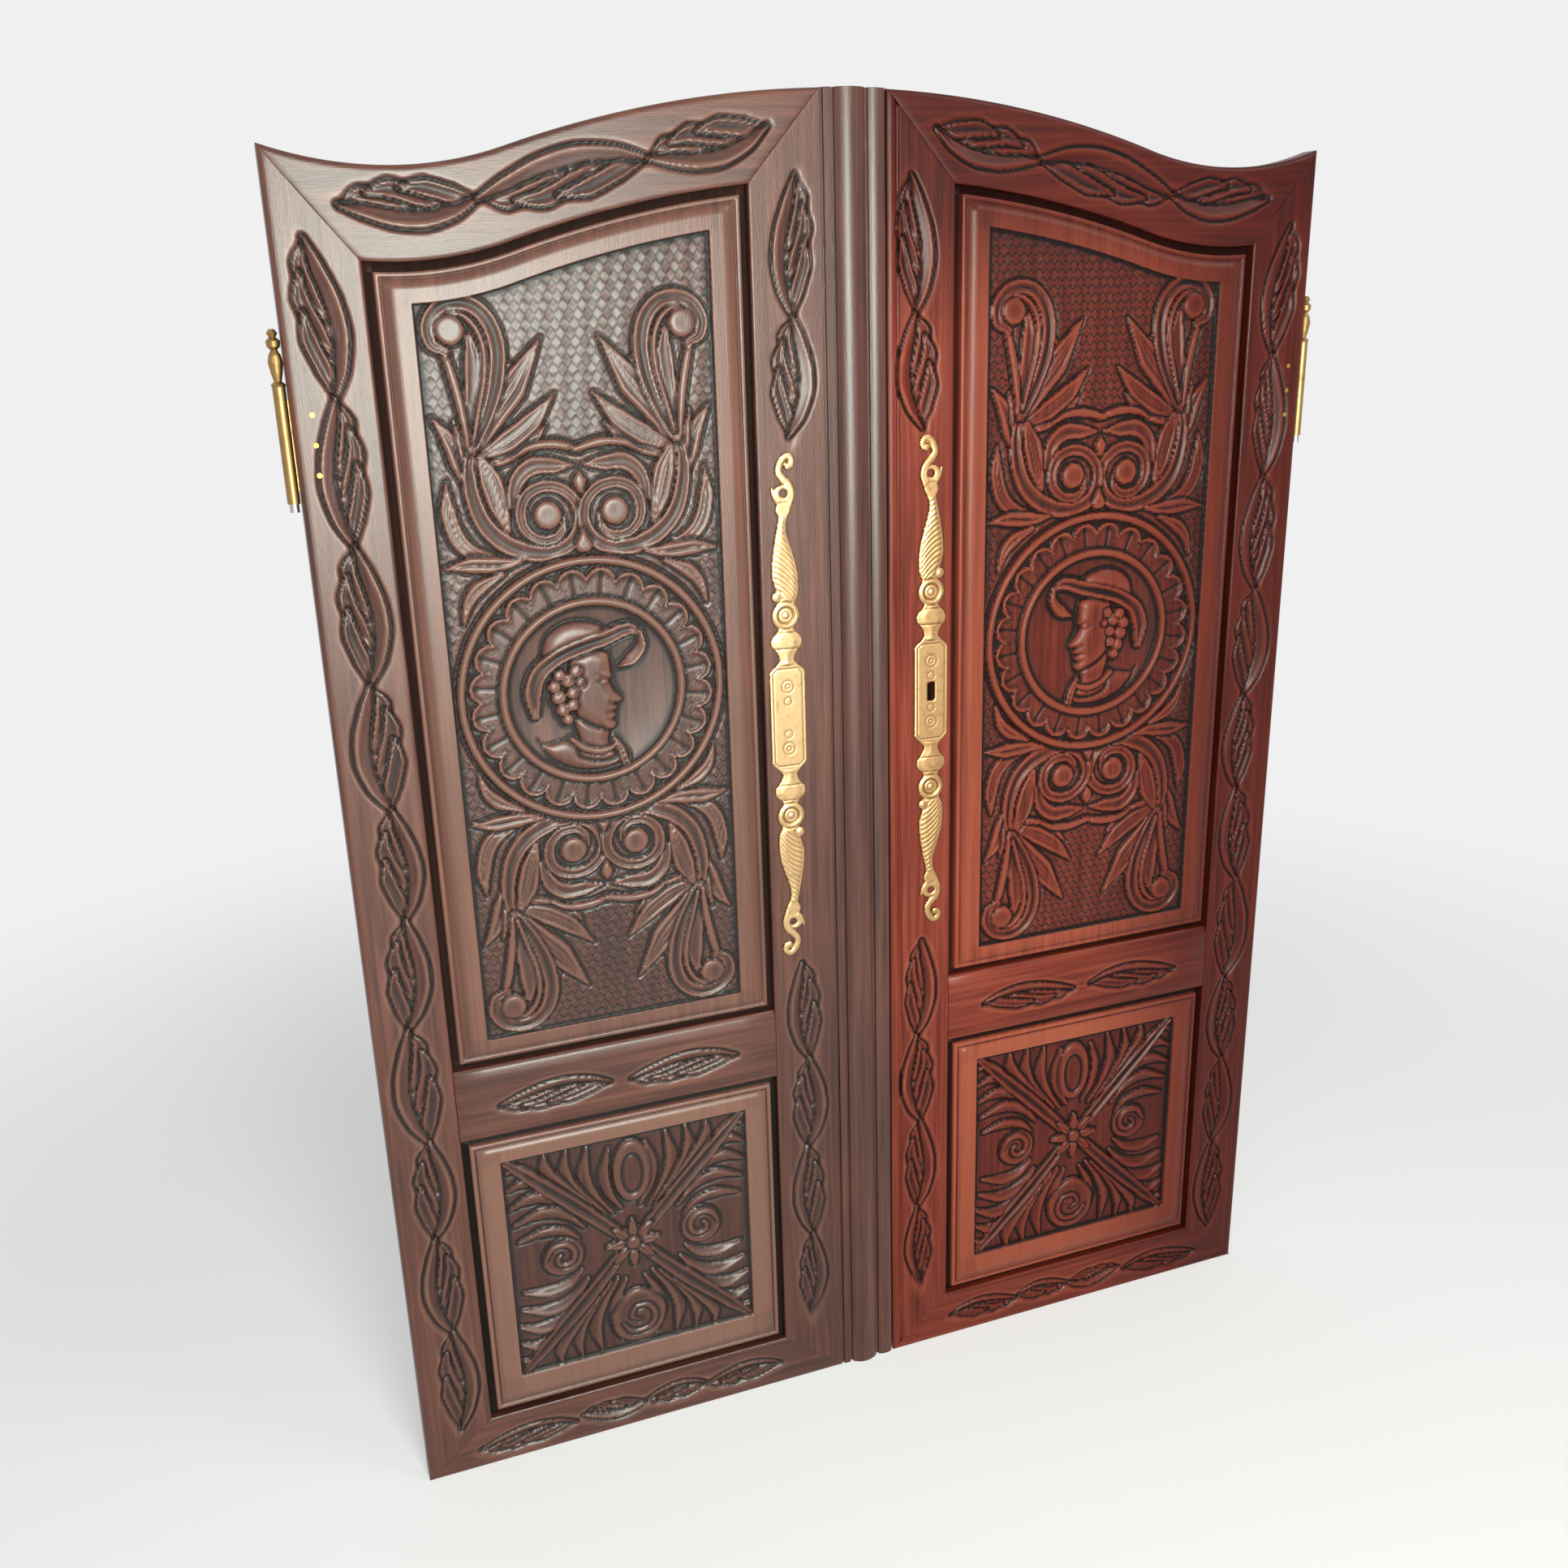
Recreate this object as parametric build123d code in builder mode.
from build123d import *
import math
import os

os.makedirs("parts", exist_ok=True)

# A pair of carved leaves of a wardrobe door, standing closed side by side.
# X runs from left to right with 0 at the middle of the pair, the carved front looks along -Y,
# and Z runs up from the leaves' foot. Left-hand pieces are drawn, and right-hand ones mirrored.

# Leaves and the ogee line of their head
leaf_width = 538.0
post_width = 71.0
leaf_gap = 3.0
crest_height = 1540.0
crest_fall = 73.0
dip_inset = 112.0
dip_radius = 355.0

# Frame members
frame_thickness = 27.0
outer_stile_width = 80.0
inner_stile_width = 78.0
top_rail_width = 84.0
mid_rail_foot = 448.0
mid_rail_width = 88.0
bottom_rail_width = 66.0
edge_round = 5.0
recess_chamfer = 1.5
mid_rail_slope_width = 12.0
mid_rail_slope_depth = 3.0

# Joints of the frame
tenon_thickness = 8.0
tenon_set_back = 10.0
tenon_length = 50.0
tenon_root = 5.0
tenon_shoulder = 12.0
top_tenon_width = 40.0
tenon_clearance = 0.15

# Panels, which lie in a groove round the frame
groove_reach = 12.0
tongue_reach = 10.0
channel_width = 9.0
panel_set_back = 0.5
bead_width = 5.0
quirk_width = 1.6
quirk_depth = 1.2

# Carved fields
field_side_border = 42.0
upper_top_border = 38.0
upper_foot_border = 32.0
lower_top_border = 37.0
lower_foot_border = 48.0
field_depth = 6.0

# Scrolls and leaves of the upper panel. Their points are drawn from the medallion's middle for the upper
# outer quarter, in a field of this width with this much room above the medallion's middle and below it.
# The lower quarters are a little shorter.
drawn_field_width = 296.0
drawn_field_rise = 394.0
drawn_field_fall = 383.0
lower_scroll_scale = 0.955
lower_scroll_shift = 4.6
leaf_rise = 3.2
leaf_steps = 4
scroll_rise = 4.6
scroll_eye_radius = 12.0
scroll_eye_rise = 5.2
# Bands as x, z and half width along their line
crook_line = (
    (-104, 255, 3), (-89, 285, 6), (-77, 317, 8), (-72, 349, 8.5), (-82, 381, 8), (-107, 394, 7.5),
    (-132, 382, 6.5), (-135, 359, 5.5),
)
crozier_line = (
    (-105, 261, 3), (-109, 223, 7), (-99, 183, 9), (-72, 158, 9.5), (-37, 150, 8.5), (-10, 162, 7.5),
    (-4, 192, 6), (-23, 214, 6), (-49, 212, 6), (-62, 193, 5),
)
scroll_eyes = ((-113, 369), (-35, 187))
# Leaves as their two tips, the bend of their middle and the swell of their sides
scroll_leaves = (
    ((-110, 217), (-141, 289), 3, 9), ((-100, 253), (-29, 360), 3, 15), ((-98, 249), (-20, 306), -5, 11),
    ((-92, 150), (-133, 227), 18, 9), ((-64, 144), (-143, 142), 2, 9), ((-129, 83), (-86, 132), 11, 8),
)

# Medallion
medallion_height = 951.0
outer_ring_radius = 144.0
inner_ring_radius = 101.0
ring_width = 9.0
ring_rise = 5.5
petal_count = 24
petal_rise = 3.0
dish_radius = 90.0
dish_depth = 4.0

# Head in the medallion, as shares of the dish's radius from its middle: a plain profile on even thirds
shoulder_rise = 4.5
face_rise = 6.5
curl_rise = 7.2
hat_rise = 8.0
bust_shape = (
    (-0.72, -0.5), (-0.4, -0.55), (-0.2, -0.6), (-0.25, -0.3), (0.12, -0.45), (0.15, -0.66), (0.34, -0.7),
    (0.4, -0.82), (0.1, -0.92), (-0.3, -0.87), (-0.6, -0.7),
)
face_shape = (
    (-0.28, 0.4), (0.2, 0.4), (0.23, 0.16), (0.2, 0.1), (0.34, -0.14), (0.26, -0.18), (0.27, -0.24), (0.24, -0.28),
    (0.26, -0.33), (0.23, -0.37), (0.25, -0.45), (0.15, -0.5), (-0.12, -0.38), (-0.28, -0.2),
)
hat_shape = (
    (-0.6, 0.42), (-0.53, 0.68), (-0.33, 0.82), (-0.08, 0.86), (0.14, 0.77), (0.22, 0.58), (-0.1, 0.46),
)
brim_line = (
    (-0.71, -0.23, 0.05), (-0.72, 0.04, 0.09), (-0.63, 0.28, 0.1), (-0.4, 0.44, 0.09), (0.15, 0.6, 0.09),
    (0.46, 0.69, 0.07), (0.6, 0.6, 0.06), (0.55, 0.42, 0.06), (0.36, 0.28, 0.04),
)
curls = ((-0.42, -0.03), (-0.36, -0.19), (-0.32, 0.16), (-0.24, -0.01), (-0.2, 0.2))
curl_radius = 7.5

# Lower panel's cross, bosses and fans, the fans' leaves drawn from the cross's middle
drawn_lower_height = 297.0
fan_rise = 3.2
fan_leaves = (
    ((-63, 30), (-140, 52), -13, 9), ((-74, 74), (-144, 112), -14, 9), ((-14, 48), (-24, 136), 10, 8),
    ((-28, 48), (-58, 142), 15, 8), ((-48, 66), (-98, 144), 11, 8),
)
rib_width = 16.0
rib_rise = 4.5
rosette_radius = 30.0
rosette_rise = 6.0
boss_offset = 96.0
boss_radius = 27.0
boss_rise = 5.0

# Garlands of leaf pods sunk into the frame, each pod with a fuller and a flatter side
garland_depth = 2.4
garland_line_share = 0.55
pod_rim_share = 0.11
pod_steps = 3
pod_gap = 3.0
garland_end = 64.0
pod_swells = (21.0, 10.0)
rail_pod_swells = (14.0, 8.0)
outer_garland_share = 0.55
garland_head_reach = 32.0
outer_pod_count = 10
head_garland_foot = 1203.0
inner_pod_count = 2
foot_garland_head = 592.0
foot_pod_count = 4
top_pod_count = 3
mid_pod_count = 2
bottom_garland_share = 0.42
bottom_pod_count = 4

# Moulded post between the leaves, from its left edge to its right one
post_quirk_width = 4.0
post_quirk_depth = 3.0
post_fillet_width = 8.0
post_round_width = 33.0
post_round_rise = 6.0
post_bead_rise = 2.0
stile_bead_width = 10.0

# Hinges
barrel_radius = 6.0
barrel_drop = 373.0
barrel_length = 108.0
barrel_offset = 7.0
barrel_set_back = 10.0
barrel_cap = 10.0
finial_length = 52.0
# The finial's outline as shares of the barrel's radius and of its own length
finial_profile = (
    (1.0, 0.0), (1.15, 0.04), (0.6, 0.10), (0.9, 0.24), (1.15, 0.42), (0.95, 0.55), (0.5, 0.64), (1.0, 0.70),
    (1.1, 0.80), (0.5, 0.86), (0.85, 0.93), (0.4, 1.0), (0.0, 1.0),
)
pin_radius = 3.4
pin_clearance = 0.05
pin_shoulder_radius = 4.5
pin_free_length = 8.0
pin_end_room = 4.0
thrust_gap = 0.1
plate_thickness = 2.5
plate_reach = 32.0
plate_margin = 12.0
slot_clearance = 0.1
hinge_nail_place = 0.6
hinge_nail_radius = 1.5
hinge_nail_head = 2.6
hinge_nail_rise = 0.6
hinge_nail_length = 18.0

# Escutcheons: each has its plate in the middle, and its ends are alike, turned half round
escutcheon_inset = 51.0
left_escutcheon_height = 896.0
right_escutcheon_height = 906.0
escutcheon_thickness = 2.5
plate_width = 42.0
plate_length = 120.0
plate_corner = 6.0
neck_width = 20.0
knob_offset = 88.0
knob_half_width = 19.0
knob_half_height = 10.0
rosette_offset = 116.0
escutcheon_rosette_radius = 16.5
body_offset = 152.0
body_radius = 15.0
body_length = 60.0
body_tip_radius = 6.0
eye_offset = 231.0
eye_radius = 9.0
loop_offset = 250.0
loop_radius = 11.0
loop_hole_radius = 5.0
hook_offset = 276.0
hook_radius = 13.0
hook_width = 7.0
hook_start = -110.0
hook_turn = 280.0
rosette_boss_radius = 8.0
rosette_boss_rise = 1.0
plate_nail_offset = 51.0
nail_radius = 1.2
nail_head_radius = 2.2
nail_head_rise = 0.8
nail_length = 12.0

# Keyhole and lock
keyhole_width = 9.0
keyhole_length = 22.0
case_edge_gap = 0.5
case_depth = 12.0
case_wall = 1.5
case_width = 64.0
case_height = 90.0
case_flange = 14.0
bolt_height = 14.0
bolt_thickness = 8.0
bolt_length = 58.0
bolt_throw = 14.0
bolt_lift = 26.0
bolt_clearance = 0.2
guide_width = 7.0
guide_wall = 3.0
keeper_width = 22.0
keeper_wall = 2.0
keeper_room = 1.5
keeper_flange = 13.0
screw_radius = 1.8
screw_length = 14.0
screw_head_radius = 3.2
screw_head_rise = 1.2

# Places worked out from the sizes
half_width = leaf_width + (post_width + leaf_gap) / 2
face_y = post_round_rise - (post_round_rise + frame_thickness + case_depth) / 2
back_y = face_y + frame_thickness
recess_left = outer_stile_width
recess_right = leaf_width - inner_stile_width
recess_middle = (recess_left + recess_right) / 2
field_left, field_right = recess_left + field_side_border, recess_right - field_side_border
mid_rail_head = mid_rail_foot + mid_rail_width
post_x = -half_width + leaf_width
right_edge_x = half_width - leaf_width
tongue_depth = tenon_set_back + tenon_thickness
ground_depth = panel_set_back + field_depth
dip_x = half_width - dip_inset
dip_height = crest_height - crest_fall
crest_radius = (dip_x**2 + crest_fall**2) / (2 * crest_fall) - dip_radius
meet_x = dip_x * crest_radius / (crest_radius + dip_radius)
medallion_x = -half_width + recess_middle
pin_x = -half_width - barrel_offset
pin_y = face_y + barrel_set_back
barrel_foot = crest_height - barrel_drop
keyhole_x = half_width - leaf_width + escutcheon_inset
bolt_z = right_escutcheon_height + bolt_lift


def crown_z(x, drop=0.0):
    """Height of the head's ogee line at x, lowered by drop."""
    if abs(x) <= meet_x:
        return crest_height - drop - crest_radius + math.sqrt(crest_radius**2 - x**2)
    return dip_height - drop + dip_radius - math.sqrt(dip_radius**2 - (abs(x) - dip_x) ** 2)


def at(u, z):
    """A point of the left leaf, u from its outer edge and z from its foot."""
    return (u - half_width, z)


def facing(depth):
    """A plane parallel to the front, this far behind the frame's face."""
    return Plane.XZ.offset(-(face_y + depth))


def under_crown(drop, mode=Mode.ADD):
    """The region under the ogee line lowered by drop, from past both sides down to below the foot."""
    reach = half_width + barrel_offset
    with BuildLine() as edge:
        for start, end in ((-reach, -meet_x), (-meet_x, meet_x), (meet_x, reach)):
            middle = (start + end) / 2
            ThreePointArc(*[(x, crown_z(x, drop)) for x in (start, middle, end)])
        Polyline((reach, crown_z(reach, drop)), (reach, -reach), (-reach, -reach), (-reach, crown_z(reach, drop)))
    make_face(edge.edges(), mode=mode)


def outline(*points, mode=Mode.ADD):
    with BuildLine() as edge:
        Polyline(*points, close=True)
    make_face(edge.edges(), mode=mode)


def leaf(start, end, bend, swell, steps=leaf_steps, mode=Mode.ADD):
    """A leaf from tip to tip: its middle bends to the left of its run, and its sides bulge by swell."""
    run_x, run_z = end[0] - start[0], end[1] - start[1]

    def side(share, bulge):
        off = 4 * share * (1 - share) * bulge / math.hypot(run_x, run_z)
        return (start[0] + run_x * share - run_z * off, start[1] + run_z * share + run_x * off)

    shares = [n / steps for n in range(steps)]
    outline(*[side(t, bend + swell) for t in shares], *[side(1 - t, bend - swell) for t in shares], mode=mode)


def band(line):
    """A band with square ends along a line of points, each an x, a z and a half width."""
    left, right = [], []
    for before, here, after in zip([line[0], *line], line, [*line[1:], line[-1]]):
        run_x, run_z = after[0] - before[0], after[1] - before[1]
        reach = here[2] / math.hypot(run_x, run_z)
        left.append((here[0] - run_z * reach, here[1] + run_x * reach))
        right.append((here[0] + run_z * reach, here[1] - run_x * reach))
    outline(*left, *reversed(right))


def garland(ends, swells):
    """Sinks a pod's outline round each leaf of a garland; the fuller side changes from pod to pod."""
    with BuildSketch(facing(0)) as pods:
        for number, (start, end) in enumerate(zip(ends, ends[1:])):
            full, small = swells if number % 2 else swells[::-1]
            run_x, run_z = end[0] - start[0], end[1] - start[1]
            gap = pod_gap / 2 / math.hypot(run_x, run_z)
            for inset, size, mode in ((gap, 1, Mode.ADD), (gap + pod_rim_share, garland_line_share, Mode.SUBTRACT)):
                tips = [(start[0] + run_x * share, start[1] + run_z * share) for share in (inset, 1 - inset)]
                leaf(*tips, (full - small) / 2 * size, (full + small) / 2 * size, steps=pod_steps, mode=mode)
    extrude(pods.sketch, amount=-garland_depth, mode=Mode.SUBTRACT)


def evenly(start, end, count):
    """Points that divide a straight line into this many equal spans."""
    return [tuple(a + (b - a) * n / count for a, b in zip(start, end)) for n in range(count + 1)]


def box_region(u0, z0, u1, z1, mode=Mode.ADD):
    outline(at(u0, z0), at(u1, z0), at(u1, z1), at(u0, z1), mode=mode)


def save(name, part):
    part.label = name
    export_step(part, f"parts/{name}.step")


def save_pair(name, left_part):
    save(f"left_{name}", left_part)
    with BuildPart() as right:
        mirror(left_part, about=Plane.YZ)
    save(f"right_{name}", right.part)


# Corners where the mitres of the head and the foot start and end
outer_head = at(0, crown_z(-half_width))
inner_head = at(leaf_width, crown_z(post_x))
recess_head_left = at(recess_left, crown_z(recess_left - half_width, top_rail_width))
recess_head_right = at(recess_right, crown_z(recess_right - half_width, top_rail_width))

# Tenons of the rails, each as (low, high) in z
bottom_tenon = (tenon_shoulder, bottom_rail_width - groove_reach)
mid_tenon = (mid_rail_foot + groove_reach, mid_rail_head - groove_reach)
outer_top_tenon = (recess_head_left[1] + groove_reach, recess_head_left[1] + groove_reach + top_tenon_width)
inner_top_tenon = (recess_head_right[1] + groove_reach, recess_head_right[1] + groove_reach + top_tenon_width)


def tenons(low_high, ends=("left", "right"), clearance=0.0, mode=Mode.ADD):
    """Tenons at the ends of a rail, or with a clearance and Mode.SUBTRACT their mortises."""
    low, high = low_high[0] - clearance, low_high[1] + clearance
    spans = {
        "left": (recess_left - tenon_length - clearance, recess_left + tenon_root),
        "right": (recess_right - tenon_root, recess_right + tenon_length + clearance),
    }
    with BuildSketch(facing(tenon_set_back - clearance)) as region:
        for end in ends:
            box_region(spans[end][0], low, spans[end][1], high)
    extrude(region.sketch, amount=-(tenon_thickness + 2 * clearance), mode=mode)


def panel_grooves():
    """Cuts the grooves that hold the tongues of both panels."""
    left, right = recess_left - groove_reach, recess_right + groove_reach
    with BuildSketch(facing(tenon_set_back - tenon_clearance)) as region:
        under_crown(top_rail_width - groove_reach)
        box_region(left, mid_rail_head - groove_reach, right, crest_height, mode=Mode.INTERSECT)
        box_region(left, bottom_rail_width - groove_reach, right, mid_rail_foot + groove_reach)
    extrude(region.sketch, amount=-(tenon_thickness + 2 * tenon_clearance), mode=Mode.SUBTRACT)


def front_edges(part):
    """Edges that lie in the frame's front face."""
    return part.edges().filter_by_position(Axis.Y, face_y - 0.01, face_y + 0.01)


def round_holes(points, radius, start, depth, mode=Mode.SUBTRACT):
    """Round holes, or with Mode.ADD round pegs, from a depth behind the face and this much deeper."""
    with BuildSketch(facing(start)) as region:
        with Locations(*points):
            Circle(radius)
    extrude(region.sketch, amount=-depth, mode=mode)


# Outer stiles, mitred at both ends, with the slot and the nail holes of the hinge
slot_low, slot_high = barrel_foot + plate_margin, barrel_foot + barrel_length - plate_margin
nail_u = plate_reach * hinge_nail_place
hinge_nails = [at(nail_u, slot_low + (slot_high - slot_low) * share) for share in (1 / 6, 1 / 2, 5 / 6)]
with BuildPart() as outer_stile:
    with BuildSketch(facing(0)):
        outline(at(0, 0), at(recess_left, bottom_rail_width), recess_head_left, outer_head)
    extrude(amount=-frame_thickness)
    fillet(front_edges(outer_stile.part).filter_by(Axis.Z).sort_by(Axis.X)[0], edge_round)
    chamfer(front_edges(outer_stile.part).filter_by(Axis.Z).sort_by(Axis.X)[-1], recess_chamfer)
    panel_grooves()
    for rail_tenon in (bottom_tenon, mid_tenon, outer_top_tenon):
        tenons(rail_tenon, ends=("left",), clearance=tenon_clearance, mode=Mode.SUBTRACT)
    with BuildSketch(facing(barrel_set_back - plate_thickness / 2 - slot_clearance)):
        box_region(-1, slot_low - slot_clearance, plate_reach + slot_clearance, slot_high + slot_clearance)
    extrude(amount=-(plate_thickness + 2 * slot_clearance), mode=Mode.SUBTRACT)
    round_holes(hinge_nails, hinge_nail_radius + slot_clearance, 0, hinge_nail_length + slot_clearance)
    garland_u = outer_stile_width * outer_garland_share
    garland_head = recess_head_left[1] + garland_head_reach
    garland(evenly(at(garland_u, garland_head), at(garland_u, garland_end), outer_pod_count), pod_swells)
save_pair("outer_stile", outer_stile.part)

# Top rails, bottom rails and mid rails
with BuildPart() as top_rail:
    with BuildSketch(facing(0)):
        under_crown(0)
        under_crown(top_rail_width, mode=Mode.SUBTRACT)
        outline(
            outer_head, recess_head_left, recess_head_right, inner_head,
            (inner_head[0], crest_height + 1), (outer_head[0], crest_height + 1), mode=Mode.INTERSECT,
        )
    extrude(amount=-frame_thickness)
    arcs = front_edges(top_rail.part).filter_by(GeomType.CIRCLE)
    fillet(arcs.filter_by(lambda e: e.center().Z > crown_z(e.center().X, top_rail_width / 2)), edge_round)
    panel_grooves()
    tenons(outer_top_tenon, ends=("left",))
    tenons(inner_top_tenon, ends=("right",))
    rail_points = evenly(at(garland_end, 0), at(leaf_width - garland_end, 0), top_pod_count)
    garland([(x, crown_z(x, top_rail_width / 2)) for x, z in rail_points], pod_swells)
save_pair("top_rail", top_rail.part)

with BuildPart() as bottom_rail:
    with BuildSketch(facing(0)):
        outline(
            at(0, 0), at(leaf_width, 0), at(recess_right, bottom_rail_width), at(recess_left, bottom_rail_width)
        )
    extrude(amount=-frame_thickness)
    chamfer(front_edges(bottom_rail.part).filter_by(Axis.X).sort_by(Axis.Z)[-1], recess_chamfer)
    panel_grooves()
    tenons(bottom_tenon)
    foot_z = bottom_rail_width * bottom_garland_share
    garland(evenly(at(garland_end, foot_z), at(leaf_width - garland_end, foot_z), bottom_pod_count), rail_pod_swells)
save_pair("bottom_rail", bottom_rail.part)

with BuildPart() as mid_rail:
    with BuildSketch(facing(0)):
        box_region(recess_left, mid_rail_foot, recess_right, mid_rail_head)
    extrude(amount=-frame_thickness)
    upper_edge = front_edges(mid_rail.part).filter_by(Axis.X).sort_by(Axis.Z)[-1]
    front_face = mid_rail.part.faces().sort_by(Axis.Y)[0]
    chamfer(upper_edge, mid_rail_slope_width, mid_rail_slope_depth, reference=front_face)
    panel_grooves()
    tenons(mid_tenon)
    mid_z = (mid_rail_foot + mid_rail_head - mid_rail_slope_width) / 2
    garland(evenly(at(field_left, mid_z), at(field_right, mid_z), mid_pod_count), rail_pod_swells)
save_pair("mid_rail", mid_rail.part)


nail_offsets = (-eye_offset, -plate_nail_offset, plate_nail_offset, eye_offset)
left_nails = [at(leaf_width - escutcheon_inset, left_escutcheon_height + offset) for offset in nail_offsets]
right_nails = [(keyhole_x, right_escutcheon_height + offset) for offset in nail_offsets]


# Inner stiles: the left one carries the post, the right one the keyhole and the lock
with BuildPart() as plain_inner_stile:
    with BuildSketch(facing(0)):
        outline(recess_head_right, at(recess_right, bottom_rail_width), at(leaf_width, 0), inner_head)
    extrude(amount=-frame_thickness)
    chamfer(front_edges(plain_inner_stile.part).filter_by(Axis.Z).sort_by(Axis.X)[0], recess_chamfer)
    panel_grooves()
    for rail_tenon in (bottom_tenon, mid_tenon, inner_top_tenon):
        tenons(rail_tenon, ends=("right",), clearance=tenon_clearance, mode=Mode.SUBTRACT)
    garland_u = recess_right + inner_stile_width / 2
    garland_head = recess_head_right[1]
    garland(evenly(at(garland_u, garland_head), at(garland_u, head_garland_foot), inner_pod_count), pod_swells)
    garland(evenly(at(garland_u, foot_garland_head), at(garland_u, garland_end), foot_pod_count), pod_swells)

with BuildPart() as left_inner_stile:
    add(plain_inner_stile.part)
    round_holes(left_nails, nail_radius + slot_clearance, 0, nail_length)
save("left_inner_stile", left_inner_stile.part)

# Screws of the lock's case, two at its head and two at its foot, on its flanges
case_left = right_edge_x + case_edge_gap
case_foot = right_escutcheon_height + (bolt_lift - case_height) / 2
case_head = case_foot + case_height
case_screws = [
    (case_left + case_width * share, z)
    for share in (1 / 5, 4 / 5)
    for z in (case_foot - case_flange / 2, case_head + case_flange / 2)
]


def keyhole(start, depth):
    """Cuts the keyhole's slot from a depth behind the face and this much deeper."""
    with BuildSketch(facing(start)) as region:
        with Locations((keyhole_x, right_escutcheon_height)):
            SlotOverall(keyhole_length, keyhole_width, rotation=90)
    extrude(region.sketch, amount=-depth, mode=Mode.SUBTRACT)


with BuildPart() as right_inner_stile:
    mirror(plain_inner_stile.part, about=Plane.YZ)
    round_holes(right_nails, nail_radius + slot_clearance, 0, nail_length)
    round_holes(case_screws, screw_radius + slot_clearance, frame_thickness - screw_length, screw_length)
    keyhole(0, frame_thickness)
    with BuildSketch(facing(0)):
        with Locations((right_edge_x + stile_bead_width + post_quirk_width / 2, crest_height / 2)):
            Rectangle(post_quirk_width, 2 * crest_height)
    extrude(amount=-post_quirk_depth, mode=Mode.SUBTRACT)
save("right_inner_stile", right_inner_stile.part)

# Keeper of the lock's bolt, on the back of the post
keeper_right = post_x + post_width - case_edge_gap
keeper_room_half = bolt_height / 2 + keeper_room
keeper_half = keeper_room_half + keeper_wall
keeper_screws = [
    (keeper_right - keeper_width / 2, bolt_z + way * (keeper_half + keeper_flange / 2)) for way in (-1, 1)
]

# Post on the left leaf's inner edge: its section runs the leaf's full height under the ogee
post_right = post_x + post_width
round_left = post_x + 2 * post_quirk_width + post_fillet_width
round_right = round_left + post_round_width
bead_left = round_right + post_quirk_width
quirk_y = face_y + post_quirk_depth
with BuildPart() as meeting_post:
    with BuildSketch(Plane.XY):
        with BuildLine():
            Polyline((post_x, back_y), (post_x, quirk_y), (post_x + post_quirk_width, quirk_y))
            Polyline(
                (post_x + post_quirk_width, quirk_y), (post_x + post_quirk_width, face_y),
                (post_x + post_quirk_width + post_fillet_width, face_y),
                (post_x + post_quirk_width + post_fillet_width, quirk_y), (round_left, quirk_y), (round_left, face_y),
            )
            ThreePointArc(
                (round_left, face_y), ((round_left + round_right) / 2, face_y - post_round_rise), (round_right, face_y)
            )
            Polyline((round_right, face_y), (round_right, quirk_y), (bead_left, quirk_y), (bead_left, face_y))
            ThreePointArc(
                (bead_left, face_y), ((bead_left + post_right) / 2, face_y - post_bead_rise), (post_right, face_y)
            )
            Polyline((post_right, face_y), (post_right, back_y), (post_x, back_y))
        make_face()
    extrude(amount=crest_height + 1)
    with BuildSketch(facing(-post_round_rise - 1)):
        under_crown(0)
    extrude(amount=-(post_round_rise + frame_thickness + 2), mode=Mode.INTERSECT)
    round_holes(keeper_screws, screw_radius + slot_clearance, frame_thickness - screw_length, screw_length)
save("left_meeting_post", meeting_post.part)


# Panels: a tongue all round, a raised field with a beaded edge, and a sunk ground for the carving
panel_thickness = tongue_depth - panel_set_back
upper_foot, upper_head_drop = mid_rail_head, top_rail_width
lower_foot, lower_head = bottom_rail_width, mid_rail_foot
upper_field_foot = upper_foot + upper_foot_border
lower_field = (lower_foot + lower_foot_border, lower_head - lower_top_border)


def crowned_region(left, foot, right, drop, mode=Mode.ADD):
    """A region between two uprights, from a foot to the ogee line lowered by drop."""
    ends = (left - half_width, right - half_width)
    bend = -meet_x
    with BuildLine() as edge:
        for start, end in ((ends[0], bend), (bend, ends[1])):
            middle = (start + end) / 2
            ThreePointArc(*[(x, crown_z(x, drop)) for x in (start, middle, end)])
        Polyline((ends[1], crown_z(ends[1], drop)), (ends[1], foot), (ends[0], foot), (ends[0], crown_z(ends[0], drop)))
    make_face(edge.edges(), mode=mode)


def upper_region(inset, mode=Mode.ADD):
    """The upper panel's region, inset on all sides from the recess in the frame."""
    crowned_region(recess_left + inset, upper_foot + inset, recess_right - inset, upper_head_drop + inset, mode)


def lower_region(inset, mode=Mode.ADD):
    box_region(recess_left + inset, lower_foot + inset, recess_right - inset, lower_head - inset, mode=mode)


def panel_body(region):
    """Tongue and raised field, with a quirk that leaves a bead along the field's edge."""
    bead_inside = channel_width + bead_width
    with BuildSketch(facing(tenon_set_back)) as tongue:
        region(-tongue_reach)
    with BuildSketch(facing(panel_set_back)) as raised:
        region(channel_width)
    with BuildSketch(facing(panel_set_back)) as quirk:
        region(bead_inside)
        region(bead_inside + quirk_width, mode=Mode.SUBTRACT)
    extrude(tongue.sketch, amount=-tenon_thickness)
    extrude(raised.sketch, amount=-panel_thickness)
    extrude(quirk.sketch, amount=-quirk_depth, mode=Mode.SUBTRACT)


def ring(middle_x, middle_z, radius, width, rise, ground):
    """A round moulding that stands on the ground: a flat top with two slopes."""
    with BuildSketch(Plane.XY.offset(middle_z)) as section:
        outline(
            (middle_x + radius, ground), (middle_x + radius - width * 0.25, ground - rise),
            (middle_x + radius - width * 0.75, ground - rise), (middle_x + radius - width, ground),
        )
    revolve(section.sketch, axis=Axis((middle_x, 0, middle_z), (0, 1, 0)))


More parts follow.
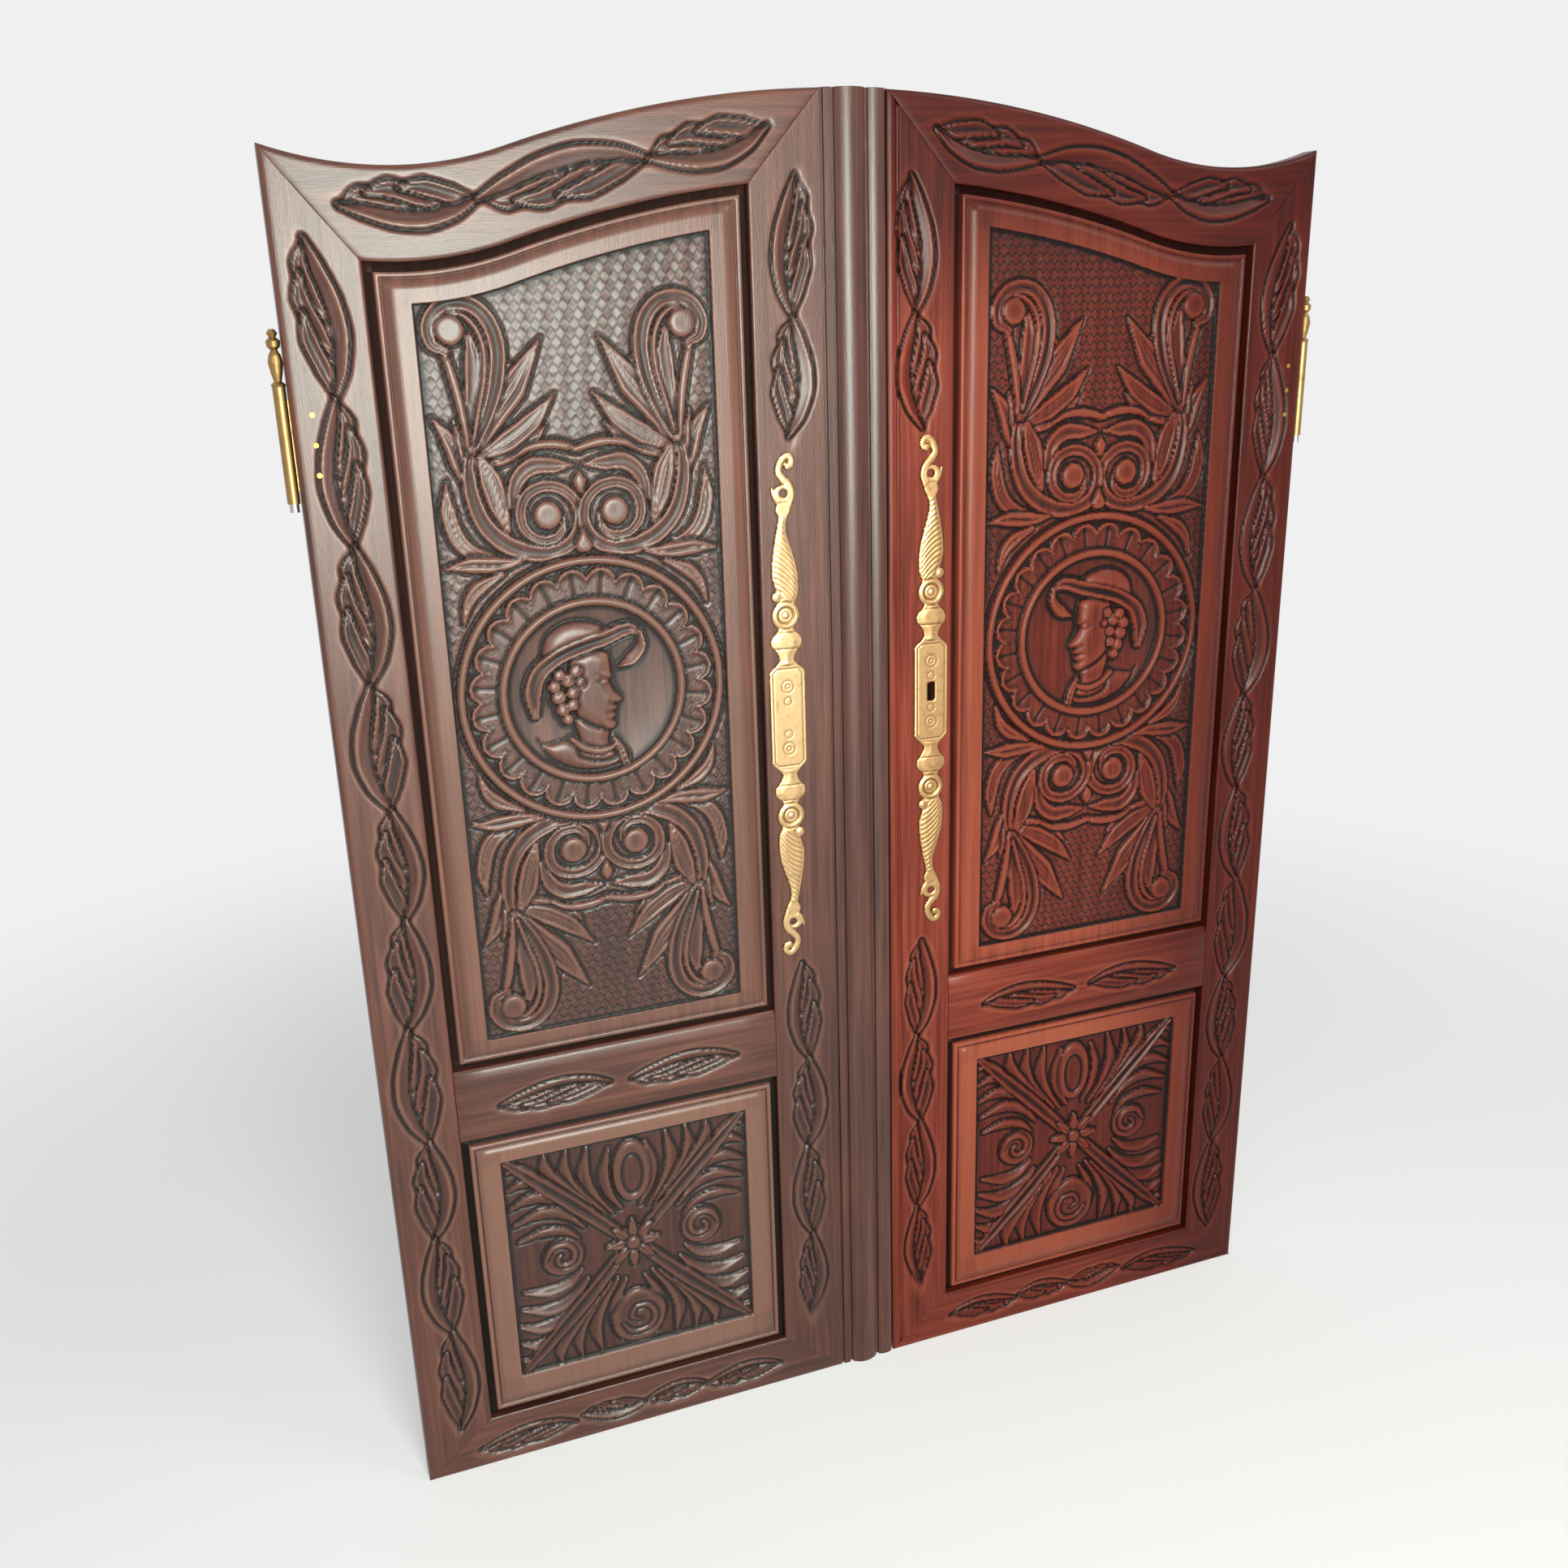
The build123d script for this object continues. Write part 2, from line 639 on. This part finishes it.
carving_scale = (field_right - field_left) / drawn_field_width
rise_scale = (dip_height - upper_head_drop - upper_top_border - medallion_height) / drawn_field_rise
fall_scale = (medallion_height - upper_field_foot) / drawn_field_fall
stroke_scale = min(carving_scale, rise_scale, fall_scale)
quarters = [(side, upper) for side in (1, -1) for upper in (1, -1)]


def scroll_point(x, z, side, upper):
    """A drawn point of the scroll work in one of its four quarters."""
    rise = z * rise_scale if upper > 0 else (lower_scroll_shift - lower_scroll_scale * z) * fall_scale
    return (medallion_x + side * x * carving_scale, medallion_height + rise)


def scroll_work():
    """Raises the leaves, then the bands of the scrolls over them, then the scrolls' eyes."""
    with BuildSketch(facing(ground_depth)) as leaves:
        for side, upper in quarters:
            for start, end, bend, swell in scroll_leaves:
                tips = [scroll_point(*tip, side, upper) for tip in (start, end)]
                leaf(*tips, side * upper * bend * stroke_scale, swell * stroke_scale)
    with BuildSketch(facing(ground_depth)) as bands:
        for side, upper in quarters:
            for line in (crook_line, crozier_line):
                band([(*scroll_point(x, z, side, upper), half * stroke_scale) for x, z, half in line])
    with BuildSketch(facing(ground_depth)) as eyes:
        with Locations(*[scroll_point(*eye, *quarter) for eye in scroll_eyes for quarter in quarters]):
            RegularPolygon(scroll_eye_radius * stroke_scale, 8)
    extrude(leaves.sketch, amount=leaf_rise)
    extrude(bands.sketch, amount=scroll_rise)
    extrude(eyes.sketch, amount=scroll_eye_rise)


def head_relief():
    """Raises shoulders, face, hat and curls from the dish."""
    dish_floor = facing(ground_depth + dish_depth)

    def placed(points):
        return [(medallion_x + x * dish_radius, medallion_height + z * dish_radius) for x, z in points]

    for shape, rise in ((bust_shape, shoulder_rise), (face_shape, face_rise), (hat_shape, face_rise)):
        with BuildSketch(dish_floor) as region:
            outline(*placed(shape))
        extrude(region.sketch, amount=rise)
    with BuildSketch(dish_floor) as brim:
        places = placed([(x, z) for x, z, half in brim_line])
        band([(*place, half * dish_radius) for place, (x, z, half) in zip(places, brim_line)])
    extrude(brim.sketch, amount=hat_rise)
    with BuildSketch(dish_floor) as curl_discs:
        with Locations(*placed(curls)):
            RegularPolygon(curl_radius, 6)
    extrude(curl_discs.sketch, amount=curl_rise)


with BuildPart() as upper_panel:
    panel_body(upper_region)
    with BuildSketch(facing(panel_set_back)):
        crowned_region(field_left, upper_field_foot, field_right, upper_head_drop + upper_top_border)
    extrude(amount=-field_depth, mode=Mode.SUBTRACT)
    ground_y = face_y + ground_depth
    for ring_radius in (outer_ring_radius, inner_ring_radius):
        ring(medallion_x, medallion_height, ring_radius, ring_width, ring_rise, ground_y)
    with BuildSketch(facing(ground_depth)):
        with Locations((medallion_x, medallion_height)):
            with PolarLocations((outer_ring_radius - ring_width + inner_ring_radius) / 2, petal_count):
                Polygon((-13, -7), (4, -15), (13, 0), (4, 15), (-13, 7), align=None)
    extrude(amount=petal_rise)
    with BuildSketch(facing(ground_depth)):
        with Locations((medallion_x, medallion_height)):
            Circle(dish_radius)
    extrude(amount=-dish_depth, taper=20, mode=Mode.SUBTRACT)
    scroll_work()
    head_relief()
save_pair("upper_panel", upper_panel.part)

with BuildPart() as lower_panel:
    panel_body(lower_region)
    with BuildSketch(facing(panel_set_back)):
        box_region(field_left, lower_field[0], field_right, lower_field[1])
    extrude(amount=-field_depth, mode=Mode.SUBTRACT)
    cross_middle = at(recess_middle, sum(lower_field) / 2)
    cross_reach = math.hypot(field_right - field_left, lower_field[1] - lower_field[0]) - 2 * rib_width
    cross_turn = math.degrees(math.atan2(lower_field[1] - lower_field[0], field_right - field_left))
    with BuildSketch(facing(ground_depth)):
        with Locations(cross_middle):
            for turn in (cross_turn, -cross_turn):
                Rectangle(cross_reach, rib_width, rotation=turn)
    extrude(amount=rib_rise)
    fan_height_scale = (lower_field[1] - lower_field[0]) / drawn_lower_height
    fan_stroke_scale = min(carving_scale, fan_height_scale)
    with BuildSketch(facing(ground_depth)):
        for side, upper in quarters:
            for start, end, bend, swell in fan_leaves:
                tips = [
                    (cross_middle[0] + side * x * carving_scale, cross_middle[1] + upper * z * fan_height_scale)
                    for x, z in (start, end)
                ]
                leaf(*tips, side * upper * bend * fan_stroke_scale, swell * fan_stroke_scale)
    extrude(amount=fan_rise)
    with BuildSketch(facing(ground_depth)):
        with Locations(cross_middle):
            with PolarLocations(boss_offset, 4):
                RegularPolygon(boss_radius, 12)
    extrude(amount=boss_rise, taper=15)
    with BuildSketch(facing(ground_depth)):
        with Locations(cross_middle):
            RegularPolygon(rosette_radius, 12)
    extrude(amount=rosette_rise, taper=20)
save_pair("lower_panel", lower_panel.part)


# Escutcheons, pierced brass plates with tapered bodies, rosettes and scrolls at both ends
def escutcheon(middle, side, nails):
    """The plate's outline is drawn for the right leaf, and side -1 turns its scrolls the other way."""
    start = hook_start if side > 0 else 180 - hook_start - hook_turn
    hook = CenterArc((0, 0), hook_radius, start, hook_turn)
    half_plate, half_length = plate_width / 2, plate_length / 2
    with BuildSketch(facing(0)) as shape:
        with Locations(middle):
            Polygon(
                (-half_plate, plate_corner - half_length), (plate_corner - half_plate, -half_length),
                (half_plate - plate_corner, -half_length), (half_plate, plate_corner - half_length),
                (half_plate, half_length - plate_corner), (half_plate - plate_corner, half_length),
                (plate_corner - half_plate, half_length), (-half_plate, half_length - plate_corner), align=None,
            )
            Rectangle(neck_width, 2 * rosette_offset)
            with PolarLocations(0, 2):
                with Locations((0, knob_offset)):
                    Ellipse(knob_half_width, knob_half_height)
                with Locations((0, rosette_offset)):
                    Circle(escutcheon_rosette_radius)
                with Locations((0, body_offset)):
                    Circle(body_radius)
                    Polygon(
                        (-body_radius, 0), (body_radius, 0), (body_tip_radius, body_length),
                        (-body_tip_radius, body_length), align=None,
                    )
                with Locations((0, (rosette_offset + eye_offset) / 2)):
                    Rectangle(2 * body_tip_radius, eye_offset - rosette_offset)
                with Locations((0, eye_offset)):
                    Circle(eye_radius)
                with Locations((0, loop_offset)):
                    Circle(loop_radius)
                with Locations((0, hook_offset)):
                    SlotArc(hook, hook_width)
                with Locations((0, loop_offset)):
                    Circle(loop_hole_radius, mode=Mode.SUBTRACT)
    extrude(shape.sketch, amount=escutcheon_thickness)
    with BuildSketch(facing(-escutcheon_thickness)) as bosses:
        with Locations(middle):
            with PolarLocations(0, 2):
                with Locations((0, rosette_offset)):
                    Circle(rosette_boss_radius)
    extrude(bosses.sketch, amount=rosette_boss_rise)
    round_holes(nails, nail_radius + slot_clearance, -escutcheon_thickness, escutcheon_thickness)


with BuildPart() as left_escutcheon:
    escutcheon(at(leaf_width - escutcheon_inset, left_escutcheon_height), -1, left_nails)
save("left_escutcheon", left_escutcheon.part)

with BuildPart() as right_escutcheon:
    escutcheon((keyhole_x, right_escutcheon_height), 1, right_nails)
    keyhole(-escutcheon_thickness, escutcheon_thickness)
save("right_escutcheon", right_escutcheon.part)

for name, nails in (("left", left_nails), ("right", right_nails)):
    with BuildPart() as escutcheon_nails:
        shank_length = escutcheon_thickness + nail_length - slot_clearance
        round_holes(nails, nail_radius, -escutcheon_thickness, shank_length, mode=Mode.ADD)
        head_start = -escutcheon_thickness - nail_head_rise
        round_holes(nails, nail_head_radius, head_start, nail_head_rise, mode=Mode.ADD)
    save(f"{name}_escutcheon_nails", escutcheon_nails.part)

# Hinges: a barrel with the plate that goes into the stile, a turned finial, and the pin below
barrel_head = barrel_foot + barrel_length
bore_radius = pin_radius + pin_clearance
bore_head = barrel_head - barrel_cap
with BuildPart() as hinge_barrel:
    with BuildSketch(Plane.XY.offset(barrel_foot)):
        with Locations((pin_x, pin_y)):
            Circle(barrel_radius)
    extrude(amount=barrel_length)
    with BuildSketch(facing(barrel_set_back - plate_thickness / 2)):
        box_region(-barrel_offset, slot_low, plate_reach, slot_high)
    extrude(amount=-plate_thickness)
    with BuildSketch(Plane.XY.offset(barrel_foot)):
        with Locations((pin_x, pin_y)):
            Circle(bore_radius)
    extrude(amount=bore_head - barrel_foot, mode=Mode.SUBTRACT)
    round_holes(hinge_nails, hinge_nail_radius + slot_clearance, 0, frame_thickness)
save_pair("hinge_barrel", hinge_barrel.part)

with BuildPart() as hinge_finial:
    with BuildSketch(Plane.XZ.offset(-pin_y)):
        with BuildLine():
            for low, high in zip(finial_profile, finial_profile[1:]):
                Line(
                    (pin_x + low[0] * barrel_radius, barrel_head + low[1] * finial_length),
                    (pin_x + high[0] * barrel_radius, barrel_head + high[1] * finial_length),
                )
            Line((pin_x, barrel_head + finial_length), (pin_x, barrel_head))
            Line((pin_x, barrel_head), (pin_x + finial_profile[0][0] * barrel_radius, barrel_head))
        make_face()
    revolve(axis=Axis((pin_x, pin_y, 0), (0, 0, 1)))
save_pair("hinge_finial", hinge_finial.part)

with BuildPart() as hinge_pin:
    with BuildSketch(Plane.XY.offset(barrel_foot - thrust_gap)):
        with Locations((pin_x, pin_y)):
            Circle(pin_radius)
    extrude(amount=bore_head - pin_end_room - barrel_foot + thrust_gap)
    with BuildSketch(Plane.XY.offset(barrel_foot - thrust_gap)):
        with Locations((pin_x, pin_y)):
            Circle(pin_shoulder_radius)
    extrude(amount=-pin_free_length)
save_pair("hinge_pin", hinge_pin.part)

with BuildPart() as stile_nails:
    round_holes(hinge_nails, hinge_nail_radius, 0, hinge_nail_length, mode=Mode.ADD)
    round_holes(hinge_nails, hinge_nail_head, -hinge_nail_rise, hinge_nail_rise, mode=Mode.ADD)
save_pair("hinge_nails", stile_nails.part)

# Lock on the back of the right leaf: a case open towards the wood, its bolt and the bolt's guide
case_middle = (case_left + case_width / 2, (case_foot + case_head) / 2)
bolt_y = back_y + case_wall + bolt_thickness / 2
bolt_low, bolt_high = bolt_z - bolt_height / 2, bolt_z + bolt_height / 2


def block(x0, x1, y0, y1, z0, z1, mode=Mode.ADD):
    """A square-edged solid between two corners."""
    with BuildSketch(Plane.XY.offset(z0)) as region:
        with Locations(((x0 + x1) / 2, (y0 + y1) / 2)):
            Rectangle(x1 - x0, y1 - y0)
    extrude(region.sketch, amount=z1 - z0, mode=mode)


with BuildPart() as lock_case:
    case_right = case_left + case_width
    block(case_left, case_right, back_y, back_y + case_depth, case_foot, case_head)
    block(case_left, case_right, back_y, back_y + case_wall, case_foot - case_flange, case_head + case_flange)
    block(
        case_left + case_wall, case_right - case_wall, back_y, back_y + case_depth - case_wall,
        case_foot + case_wall, case_head - case_wall, mode=Mode.SUBTRACT,
    )
    block(
        case_left - 1, case_left + case_wall + 1, back_y + case_wall - bolt_clearance,
        back_y + case_wall + bolt_thickness + bolt_clearance,
        bolt_low - bolt_clearance, bolt_high + bolt_clearance, mode=Mode.SUBTRACT,
    )
    round_holes(case_screws, screw_radius + slot_clearance, frame_thickness, case_wall)
save("lock_case", lock_case.part)

with BuildPart() as lock_bolt:
    bolt_end = case_left + bolt_length
    block(case_left, bolt_end, bolt_y - bolt_thickness / 2, bolt_y + bolt_thickness / 2, bolt_low, bolt_high)
save("lock_bolt", lock_bolt.part)

with BuildPart() as lock_guide:
    guide_right = bolt_end - bolt_throw - guide_wall
    guide_span = (guide_right - guide_width, guide_right)
    inside_y = back_y + case_depth - case_wall
    block(*guide_span, back_y, inside_y, bolt_low - bolt_clearance - guide_wall, bolt_high + bolt_clearance + guide_wall)
    block(
        *guide_span, bolt_y - bolt_thickness / 2 - bolt_clearance, bolt_y + bolt_thickness / 2 + bolt_clearance,
        bolt_low - bolt_clearance, bolt_high + bolt_clearance, mode=Mode.SUBTRACT,
    )
save("lock_guide", lock_guide.part)

with BuildPart() as lock_screws:
    screw_start = frame_thickness - screw_length + slot_clearance
    screw_reach = screw_length + case_wall - slot_clearance
    round_holes(case_screws, screw_radius, screw_start, screw_reach, mode=Mode.ADD)
    round_holes(case_screws, screw_head_radius, frame_thickness + case_wall, screw_head_rise, mode=Mode.ADD)
save("lock_screws", lock_screws.part)

with BuildPart() as lock_keeper:
    keeper_left = keeper_right - keeper_width
    keeper_low, keeper_high = bolt_z - keeper_half, bolt_z + keeper_half
    block(keeper_left, keeper_right, back_y, back_y + case_depth, keeper_low, keeper_high)
    block(
        keeper_left, keeper_right, back_y, back_y + keeper_wall,
        keeper_low - keeper_flange, keeper_high + keeper_flange,
    )
    block(
        keeper_left + keeper_wall, keeper_right + 1, back_y, back_y + case_depth - keeper_wall,
        bolt_z - keeper_room_half, bolt_z + keeper_room_half, mode=Mode.SUBTRACT,
    )
    round_holes(keeper_screws, screw_radius + slot_clearance, frame_thickness, keeper_wall)
save("lock_keeper", lock_keeper.part)

with BuildPart() as keeper_screw_pair:
    screw_reach = screw_length + keeper_wall - slot_clearance
    round_holes(keeper_screws, screw_radius, screw_start, screw_reach, mode=Mode.ADD)
    round_holes(keeper_screws, screw_head_radius, frame_thickness + keeper_wall, screw_head_rise, mode=Mode.ADD)
save("keeper_screws", keeper_screw_pair.part)
